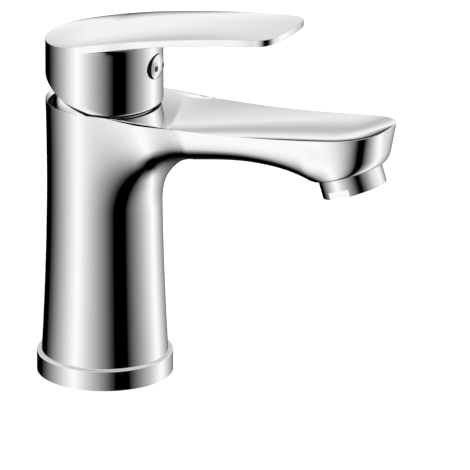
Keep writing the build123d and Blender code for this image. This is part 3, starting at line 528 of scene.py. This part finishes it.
def build_body():
    shell = Shell()
    sections, sides = body_sections(ACROSS)
    edges, rows = [], []
    for i, line in enumerate(sections):
        if i < sides - 1:
            rows.append(line)
            continue
        rows.append(shorten(line, EDGE_SOFT, ACROSS))
        edges.append((rows[-1][-1], line[-1]))
    shell.both_sides(rows)
    # Back half of the column, with the same heights as the sections' ends.
    half_turn = np.linspace(math.pi / 2, math.pi, BACK_STEPS)
    levels = [row[-1][2] for row in rows[:sides]]
    back = [[polar(float(column_radius(max(z, RING_H))), a, z) for z in levels] for a in half_turn]
    shell.both_sides(back, flip=True)
    rim = [(np.array(column[-1]), np.array(polar(RIM_R, a, RIM_Z))) for a, column in zip(half_turn, back)]
    edges = rim[:0:-1] + edges
    # The rounded edge, then the hollow of the spout and the collar.
    soft, dish, bore = [], [], []
    for below, edge in edges:
        radius = math.hypot(edge[0], edge[1])
        t = np.linspace(0.0, 1.0, DISH_POINTS) ** 1.4
        r = COLLAR_R + (radius - COLLAR_R) * t
        line = np.stack([edge[0] / radius * r, edge[1] / radius * r, r], axis=1)
        line[:, 2] = dish_height(line[:, 0], line[:, 1])
        line[-1] = edge
        line = shorten(line, min(EDGE_SOFT, 0.45 * (radius - COLLAR_R)), DISH_POINTS)
        soft.append(soft_edge(below, edge, line[-1]))
        line[0, 2] = LEDGE_Z
        dish.append(line)
        turn = math.atan2(-line[0, 0], line[0, 1])
        bore.append([line[0].tolist()] + [polar(r, turn, z) for r, z in (
            (LEDGE_R, LEDGE_Z), (LEDGE_R, NUT_Z), (NUT_R, NUT_Z), (NUT_R, SEAT_Z), (0.0, SEAT_Z))])
    shell.both_sides(soft)
    shell.both_sides(dish, flip=True)
    # The ledge and bore are painted dark, as the shade in the gap under the hub.
    shell.both_sides(bore, look=1)
    # Spigot inside the base ring, and the hollow foot.
    foot = []
    for a in list(np.linspace(0.0, math.pi / 2, ACROSS)) + list(half_turn[1:]):
        foot.append([polar(r, a, z) for r, z in (
            (FOOT_R, RING_H - LAP), (SPIGOT_R, RING_H - LAP), (SPIGOT_R, SEAL_H), (CAVITY_R, SEAL_H),
            (CAVITY_R, WEB_TOP), (0.0, WEB_TOP))])
    shell.both_sides(foot)
    # Seating face of the boss and the aerator's socket.
    boss = []
    for share in np.linspace(0.0, 1.0, BOSS_STEPS):
        angle = math.pi * (1.0 - share)
        line = []
        for r, up in ((BOSS_R, 0.0), (AERATOR_THREAD_R, 0.0), (AERATOR_THREAD_R, SOCKET_L), (0.0, SOCKET_L)):
            f = r * math.cos(angle)
            line.append([-r * math.sin(angle),
                         AERATOR_REACH + f * math.cos(AERATOR_TILT) - up * math.sin(AERATOR_TILT),
                         AERATOR_Z + f * math.sin(AERATOR_TILT) + up * math.cos(AERATOR_TILT)])
        boss.append(line)
    shell.both_sides(boss)
    ob = shell.build("body_casting", [BODY_CHROME, PAINTED_GAP_SHADE], weld=CAST_WELD, sharp=BODY_SHARP)
    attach(ob, "faucet_body")
    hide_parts("body")


def build_web():
    """Floor of the waterways in the hollow foot, with the two hose threads and the stud's thread."""
    edge = CAVITY_R - WEB_GAP
    ob = lathe("inlet_web", [(0.0, WEB_Z), (edge, WEB_Z), (edge, WEB_TOP), (0.0, WEB_TOP)], BRASS)
    holes = [(side, INLET_REACH, INLET_R) for side in (-INLET_SIDE, INLET_SIDE)] + [(0.0, STUD_REACH, STUD_R)]
    cut(ob, [rod("thread", (x, f, WEB_Z - 1.0), (x, f, WEB_Z + THREAD_L), r, 64) for x, f, r in holes])
    shade(ob, TURNED_SHARP)
    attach(ob, "faucet_body")


build_body()
build_web()


# ---------------------------------------------------------------- handle
# Half of the lever's plan as (side, reach), from beside the hub's axis to the tip.
LEVER_OUTLINE = [(24.0, 0.0), (23.7, 6.0), (23.3, 12.0), (22.1, 22.0), (21.1, 35.0), (19.9, 50.0),
                 (18.6, 66.0), (17.3, 78.0), (16.2, 82.5), (13.9, 84.7), (10.5, 85.7), (5.5, 86.3),
                 (0.0, LEVER_TIP)]


def lever_top(reach):
    """Height of the lever's top: a rising arch, lifted again over the back of the hub."""
    back = np.clip(-np.asarray(reach, float) / HUB_R, 0.0, 1.0)
    plain_top = LEVER_TOP_Z + LEVER_SLOPE * reach - LEVER_BEND * reach ** 2 - LEVER_DROOP * reach ** 3
    return plain_top + LEVER_BACK_RISE * back ** 2


def crown(reach, inward):
    """Height over the lever's plain top: a little low at the edge (0) and domed towards the middle (1)."""
    fade = 1.0 - smoothstep(reach, *CROWN_FADE)
    return fade * (CROWN * (1.0 - (1.0 - inward) ** CROWN_POWER) - EDGE_DROP)


def lever_under(reach):
    share = (reach - LEVER_ROOT) / (LEVER_TIP - LEVER_ROOT)
    return lever_top(reach) - LEVER_WALL + (LEVER_WALL - LEVER_TIP_WALL) * share


def spline(points, count):
    """Smooth line through plan points, with the first and last mirrored about the axes."""
    p = np.asarray(points, float)
    p = np.vstack([p[1] * [1, -1], p, p[-2] * [-1, 1]])
    line = []
    for i in range(1, len(p) - 2):
        d0, d1, d2 = (np.linalg.norm(p[i + k] - p[i + k - 1]) for k in (0, 1, 2))
        m0 = ((p[i + 1] - p[i]) / d1 * d0 + (p[i] - p[i - 1]) / d0 * d1) / (d0 + d1)
        m1 = ((p[i + 1] - p[i]) / d1 * d2 + (p[i + 2] - p[i + 1]) / d2 * d1) / (d1 + d2)
        t = np.linspace(0.0, d1, 24, endpoint=i == len(p) - 3)[:, None]
        line.append(hermite(t, 0.0, p[i], m0, d1, p[i + 1], m1))
    line = np.vstack(line)
    return resample(np.column_stack([line, np.zeros(len(line))]), count)[:, :2]


def tuck_radius(z):
    """Outer radius of the hub: a straight wall that draws in to its lower lip."""
    z = np.asarray(z, float)
    share = np.clip((HUB_FULL_Z - z) / (HUB_FULL_Z - HUB_LIP_Z), 0.0, 1.0)
    return HUB_R - (HUB_R - HUB_LIP_R) * share ** 2.0


def hub_profile(angle, top):
    """Outside of the hub from its top down to the lip, as 35 (radius, height) points."""
    end = lip_height(tuck_radius, angle)
    upper = np.linspace(top, max(end, HUB_FULL_Z), 22)
    lower = np.linspace(upper[-1], end, 14)[1:]
    tuck = np.array([(float(tuck_radius(z)), z) for z in np.concatenate([upper, lower])])
    # The front hangs lower, with a rounded edge over a neck painted dark for the shade under it.
    hang = [(HUB_R, z) for z in np.linspace(top, HUB_EDGE_Z + HUB_EDGE_H, 22)]
    for a in np.linspace(0.0, math.pi / 2, 9)[1:]:
        radius = HUB_EDGE_R + (HUB_R - HUB_EDGE_R) * math.cos(a)
        hang.append((radius, HUB_EDGE_Z + HUB_EDGE_H * (1.0 - math.sin(a))))
    hang.append(((HUB_EDGE_R + HUB_LIP_R) / 2, HUB_EDGE_Z))
    hang += [(HUB_LIP_R, z) for z in np.linspace(HUB_EDGE_Z, HUB_LIP_Z, 4)]
    front = 1.0 - float(smoothstep(angle, *FRONT_LIP))
    return tuck + (np.array(hang) - tuck) * front


def cavity_radius(z):
    """Radius of the hollow that clears the dome cover."""
    sphere = np.sqrt(np.clip(HUB_CLEAR_R ** 2 - (np.asarray(z, float) - PIVOT_Z) ** 2, 0.0, None))
    return np.maximum(np.minimum(sphere, HUB_CLEAR_R), HUB_CAVITY_R)


def lip_height(radius_at, angle):
    """Where a wall of the hub ends: the lip, or the slanted cut at the back."""
    z = HUB_LIP_Z
    for _ in range(30):
        z = max(HUB_LIP_Z, TILT_CUT_Z - TILT_CUT_SLOPE * float(radius_at(z)) * math.cos(angle))
    return z


def hub_column(angle, top):
    """One line of the hub from its top down the outside, round the lip, and up the cavity to the roof."""
    line = [top] + [polar(r, angle, z) for r, z in hub_profile(angle, top[2])[1:]]
    for z in np.linspace(lip_height(cavity_radius, angle), HUB_ROOF_Z, 14):
        line.append(polar(float(cavity_radius(z)), angle, z))
    return line + [[0.0, 0.0, HUB_ROOF_Z]]


def top_row(plan, inward, below, edge):
    """From below the lever's top edge, over its rounding, and in to the spine."""
    t = np.linspace(0.0, 1.0, 40) ** 1.6
    start = plan + inward * TOP_SOFT
    line = np.empty((40, 3))
    line[:, 0] = start[0] * (1 - t)
    line[:, 1] = start[1] + (float(np.clip(plan[1], *SPINE)) - start[1]) * t
    line[:, 2] = lever_top(line[:, 1]) + crown(line[:, 1], t)
    return np.vstack([soft_edge(below, edge, line[0], 7), line[1:]])


def under_row(plan, inward, wall, angle):
    """Down the lever's side, round its lower edge, and along its underside into the hub's fillet."""
    hub = np.array(polar(HUB_R, angle, 0.0))[:2]
    gap = math.hypot(*(plan - hub))
    away = (plan - hub) / max(gap, 1e-6)
    fillet = min(HUB_FILLET * float(smoothstep(plan[1], *FILLET_GROWTH)), 0.75 * gap)
    soft = UNDER_SOFT * float(smoothstep(gap, *SOFT_GROWTH))
    corner = np.array([*plan, float(lever_under(plan[1]))])
    line = [soft_edge(corner + [0.0, 0.0, soft], corner, corner + [*(inward * soft), 0.0], 4)]
    start, end = line[0][-1][:2], hub + away * fillet
    for t in np.linspace(0.0, 1.0, 26)[1:]:
        point = start + (end - start) * t
        line.append([[*point, float(lever_under(point[1]))]])
    for a in np.linspace(0.0, math.pi / 2, 9)[1:]:
        point = hub + away * fillet * (1.0 - math.sin(a))
        line.append([[*point, float(lever_under(point[1])) - fillet * (1.0 - math.cos(a))]])
    line = np.vstack(line)
    side = [wall + (line[0] - wall) * t for t in np.linspace(0.0, 1.0, 6)]
    return np.vstack([side[:-1], line])


def build_handle():
    shell = Shell()
    # Plan outline from the back's middle round the -X side to the tip.
    back_angles = np.linspace(math.pi, math.pi / 2, LEVER_BACK_STEPS)
    back = np.array([polar(HUB_R, a, 0.0) for a in back_angles])
    front = spline(LEVER_OUTLINE, LEVER_STEPS) * [-1.0, 1.0]
    outline = np.vstack([back[:-1, :2], front])
    step = np.gradient(outline, axis=0)
    step[0], step[-1] = (-1.0, 0.0), (1.0, 0.0)
    step /= np.linalg.norm(step, axis=1)[:, None]
    inward = np.column_stack([step[:, 1], -step[:, 0]])
    heights = lever_top(outline[:, 1]) + crown(outline[:, 1], 0.0)
    edges = np.column_stack([outline, heights])
    walls = edges - [0.0, 0.0, TOP_SOFT]
    shell.both_sides([top_row(*row) for row in zip(outline, inward, walls, edges)])
    # The lever's side and underside.
    hub_angles = math.pi / 2 * (1.0 - np.linspace(0.0, 1.0, LEVER_STEPS) ** 0.8)
    first = LEVER_BACK_STEPS - 1
    under = [under_row(*row) for row in zip(front, inward[first:], walls[first:], hub_angles)]
    shell.both_sides(under)
    # The hub's wall, lip, cavity and roof, behind and then in front; the wall's lower end, the lip and the
    # cavity are painted dark as shade.
    for tops in (zip(back_angles, walls), [(a, line[-1]) for a, line in zip(hub_angles, under)]):
        columns = [hub_column(angle, top) for angle, top in tops]
        shell.both_sides([line[:SKIN_POINTS] for line in columns])
        shell.both_sides([line[SKIN_POINTS - 1:] for line in columns], look=1)
    ob = shell.build("handle_casting", [HANDLE_CHROME, PAINTED_GAP_SHADE], weld=CAST_WELD, sharp=HANDLE_SHARP)
    recess = rod("recess", (0.0, CAP_FACE, CAP_Z), (0.0, CAP_FACE + 8.0, CAP_Z), RECESS_R)
    recess.data.transform(Matrix.Diagonal((RECESS_OVAL, 1.0, 1.0, 1.0)))
    cut(ob, [recess])
    # The recess behind the cap is painted dark as shade.
    for face in ob.data.polygons:
        across, above = face.center.x / RECESS_OVAL, face.center.z - CAP_Z * MM
        if math.hypot(across, above) < (RECESS_R + 0.01) * MM and face.center.y < 0:
            face.material_index = 1
    shade(ob, HANDLE_SHARP)
    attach(ob, "lever")
    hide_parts("handle")


def build_grip():
    """Ring under the hub's roof that grips the spindle's insert, painted dark as the shade under the roof."""
    profile = [(GRIP_BORE_R, GRIP_LOW), (GRIP_R, GRIP_LOW), (GRIP_R, GRIP_HIGH), (GRIP_BORE_R, GRIP_HIGH)]
    ob = lathe("handle_boss", profile, PAINTED_GAP_SHADE, 96, (0.0, 0.0, PIVOT_Z), -GRIP_TILT)
    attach(ob, "lever")


def build_indicator():
    """Domed cap with a blue and a red dot let into it."""
    middle, sag = (0.0, 0.0, CAP_Z), CAP_FRONT - CAP_EDGE
    dome = [(CAP_R * k, CAP_FRONT - sag * k * k) for k in np.linspace(1.0, 0.0, 14)]
    seat = CAP_FACE + 0.05
    back = [(0.0, CAP_PLUG_END), (CAP_PLUG_R, CAP_PLUG_END), (CAP_PLUG_R, seat), (CAP_R, seat)]
    cap = lathe("indicator_button", back + dome, CAP_CHROME, 96, middle, FORWARD)
    # The cap's side wall is painted dark, as the shade and dark reflection of the gap round it.
    cap.data.materials.append(PAINTED_GAP_SHADE)
    for polygon in cap.data.polygons:
        if abs(polygon.normal.y) < 0.5:
            polygon.material_index = 1
    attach(cap, "lever")
    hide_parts("indicator_cap")
    face = CAP_FRONT - sag * (DOT_SIDE / CAP_R) ** 2
    top = face + DOT_PROUD
    profile = [(0.0, face - DOT_DEPTH), (DOT_R, face - DOT_DEPTH), (DOT_R, face + DOT_EDGE),
               (DOT_R - DOT_BEVEL, top), (0.0, top)]
    for name, node_name, slot, look, side in (("cold_dot", "cold_mark", "blue_dot", BLUE, -DOT_SIDE),
                                              ("hot_dot", "hot_mark", "red_dot", RED, DOT_SIDE)):
        dot = lathe(name, profile, look, 48, (side, 0.0, CAP_Z), FORWARD)
        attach(dot, "lever")
        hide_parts(node_name)


build_handle()
build_grip()
build_indicator()


# ---------------------------------------------------------------- CAD nodes that keep their shape
NODE_LOOKS = [
    (TRIM_CHROME, ("base_ring", "dome_cover", "aerator_housing")),
    (RUBBER, ("base_seal", "port_seals", "rotor_seal", "cover_seal", "aerator_washer")),
    (WHITE, ("cartridge_base", "cartridge_housing", "aerator_insert", "aerator_screen")),
    (GREY, ("disc_carrier", "cartridge_rotor", "limit_ring", "flow_regulator")),
    (CERAMIC, ("fixed_ceramic_disc",)),
    (CERAMIC_DARK, ("moving_ceramic_disc",)),
    (BRASS, ("spindle", "cartridge_nut", "handle_insert")),
    (STEEL, ("pivot_pin", "set_screw")),
]
for look, names in NODE_LOOKS:
    for node_name in names:
        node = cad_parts[node_name]
        node.data.materials.clear()
        node.data.materials.append(look)

# Polished pieces mirror the studio and not each other.
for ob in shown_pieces():
    ob.visible_glossy = False


# ---------------------------------------------------------------- floor, light and camera
def build_stage():
    bpy.ops.mesh.primitive_plane_add(size=6.0, location=(0, 0, -0.0002))
    floor = bpy.context.object
    floor.name = "floor"
    mat, nodes, links, shader = new_material("pale_floor")
    shader.inputs["Base Color"].default_value = (0.93, 0.93, 0.93, 1.0)
    shader.inputs["Roughness"].default_value = 0.9
    shader.inputs["Emission Color"].default_value = (1.0, 1.0, 1.0, 1.0)
    shader.inputs["Emission Strength"].default_value = 0.6
    floor.data.materials.append(mat)
    floor.visible_glossy = False


# Brightness of the walls: (degrees round from the camera towards its right, brightness).
WALLS = [(-180, 0.03), (-168, 0.0), (-134, 0.0), (-120, 0.1), (-104, 0.31), (-88, 0.56), (-72, 0.86),
         (-58, 1.1), (-52, 1.1), (-40, 0.9), (-32, 0.74), (-16, 0.47), (0, 0.22), (10, 0.07), (18, 0.0),
         (42, 0.0), (50, 0.09), (64, 0.29), (80, 0.55), (96, 0.87), (108, 1.1), (115, 1.1), (120, 0.99),
         (136, 0.64), (152, 0.38), (170, 0.14), (180, 0.03)]

# Against height, which is 0 straight down, 0.5 at the horizon and 1 straight up: the brightness of the
# ceiling, how the walls fade out to a dark ground, and where the ceiling takes over from the walls.
CEILING = [(0.0, 1.0), (0.5, 1.0), (0.57, 0.98), (0.62, 0.86), (0.66, 0.7), (0.7, 0.6), (0.745, 0.6),
           (0.79, 0.78), (0.83, 0.96), (0.9, 0.8), (0.95, 0.5), (1.0, 0.3)]
GROUND = [(0.0, 0.0), (0.008, 0.0), (0.03, 0.55), (0.06, 1.0), (1.0, 1.0)]
TAKEOVER = [(0.0, 0.0), (CEILING_LOW, 0.0), (CEILING_HIGH, 1.0), (1.0, 1.0)]

# The ceiling starts higher on the camera's side. Position is a share of a full turn, from behind.
LIFT = [(0.0, 0.0), (0.167, 0.0), (0.333, CEILING_LIFT), (0.667, CEILING_LIFT), (0.833, 0.0), (1.0, 0.0)]


def build_world():
    """White room with dark flags standing round it, and a bright ceiling over them."""
    world = bpy.data.worlds.new("studio")
    bpy.context.scene.world = world
    world.use_nodes = True
    nodes, links = world.node_tree.nodes, world.node_tree.links
    place = nodes.new("ShaderNodeTexCoord")
    split = nodes.new("ShaderNodeSeparateXYZ")
    links.new(place.outputs["Generated"], split.inputs["Vector"])

    def math_node(kind, *values):
        node = nodes.new("ShaderNodeMath")
        node.operation = kind
        for socket, value in zip(node.inputs, values):
            if hasattr(value, "is_output"):
                links.new(value, socket)
            else:
                socket.default_value = value
        return node.outputs["Value"]

    def ramp(fac, stops):
        node = nodes.new("ShaderNodeValToRGB")
        elements = node.color_ramp.elements
        elements[0].position, elements[1].position = stops[0][0], stops[-1][0]
        elements[0].color = (*[stops[0][1]] * 3, 1.0)
        elements[1].color = (*[stops[-1][1]] * 3, 1.0)
        for position, value in stops[1:-1]:
            elements.new(position).color = (value, value, value, 1.0)
        links.new(fac, node.inputs["Fac"])
        return node.outputs["Color"]

    def colour_mix(kind, factor, first, second):
        node = nodes.new("ShaderNodeMix")
        node.data_type = "RGBA"
        node.blend_type = kind
        sockets = (node.inputs["Factor"], node.inputs[6], node.inputs[7])
        for socket, value in zip(sockets, (factor, first, second)):
            if hasattr(value, "is_output"):
                links.new(value, socket)
            else:
                socket.default_value = value
        return node.outputs[2]

    # Azimuth from the camera's side, as a share of a full turn, with the seam behind.
    camera_turn = math.radians(CAMERA_AZIMUTH - 90.0)
    c, s = math.cos(camera_turn), math.sin(camera_turn)
    x, y = split.outputs["X"], split.outputs["Y"]
    ahead = math_node("ADD", math_node("MULTIPLY", x, c), math_node("MULTIPLY", y, s))
    side = math_node("SUBTRACT", math_node("MULTIPLY", y, c), math_node("MULTIPLY", x, s))
    turn = math_node("ARCTAN2", side, ahead)
    share = math_node("ADD", math_node("DIVIDE", turn, 2.0 * math.pi), 0.5)
    height = math_node("ADD", math_node("MULTIPLY", split.outputs["Z"], 0.5), 0.5)
    walls = ramp(share, [((degrees + 180.0) / 360.0, value) for degrees, value in WALLS])
    walls = colour_mix("MULTIPLY", 1.0, walls, ramp(height, GROUND))
    takeover = ramp(math_node("SUBTRACT", height, ramp(share, LIFT)), TAKEOVER)
    room = colour_mix("MIX", takeover, walls, ramp(height, CEILING))
    links.new(room, nodes["Background"].inputs["Color"])
    nodes["Background"].inputs["Strength"].default_value = 1.0


def build_camera():
    azimuth, elevation = math.radians(CAMERA_AZIMUTH), math.radians(CAMERA_ELEVATION)
    back = np.array([math.sin(azimuth) * math.cos(elevation), -math.cos(azimuth) * math.cos(elevation),
                     math.sin(elevation)])
    right = np.array([math.cos(azimuth), math.sin(azimuth), 0.0])
    up = np.cross(back, right)
    target = right * TARGET_RIGHT + up * TARGET_UP
    camera = bpy.data.cameras.new("camera")
    ob = bpy.data.objects.new("camera", camera)
    bpy.context.scene.collection.objects.link(ob)
    m = Matrix((right, up, back)).transposed().to_4x4()
    m.translation = target + back * CAMERA_DISTANCE
    ob.matrix_world = m
    camera.sensor_width = 36.0
    camera.lens = camera.sensor_width * CAMERA_DISTANCE / VIEW_WIDTH
    camera.clip_end = 50.0
    bpy.context.scene.camera = ob


build_stage()
build_world()
build_camera()
bpy.context.scene.view_settings.view_transform = "Standard"
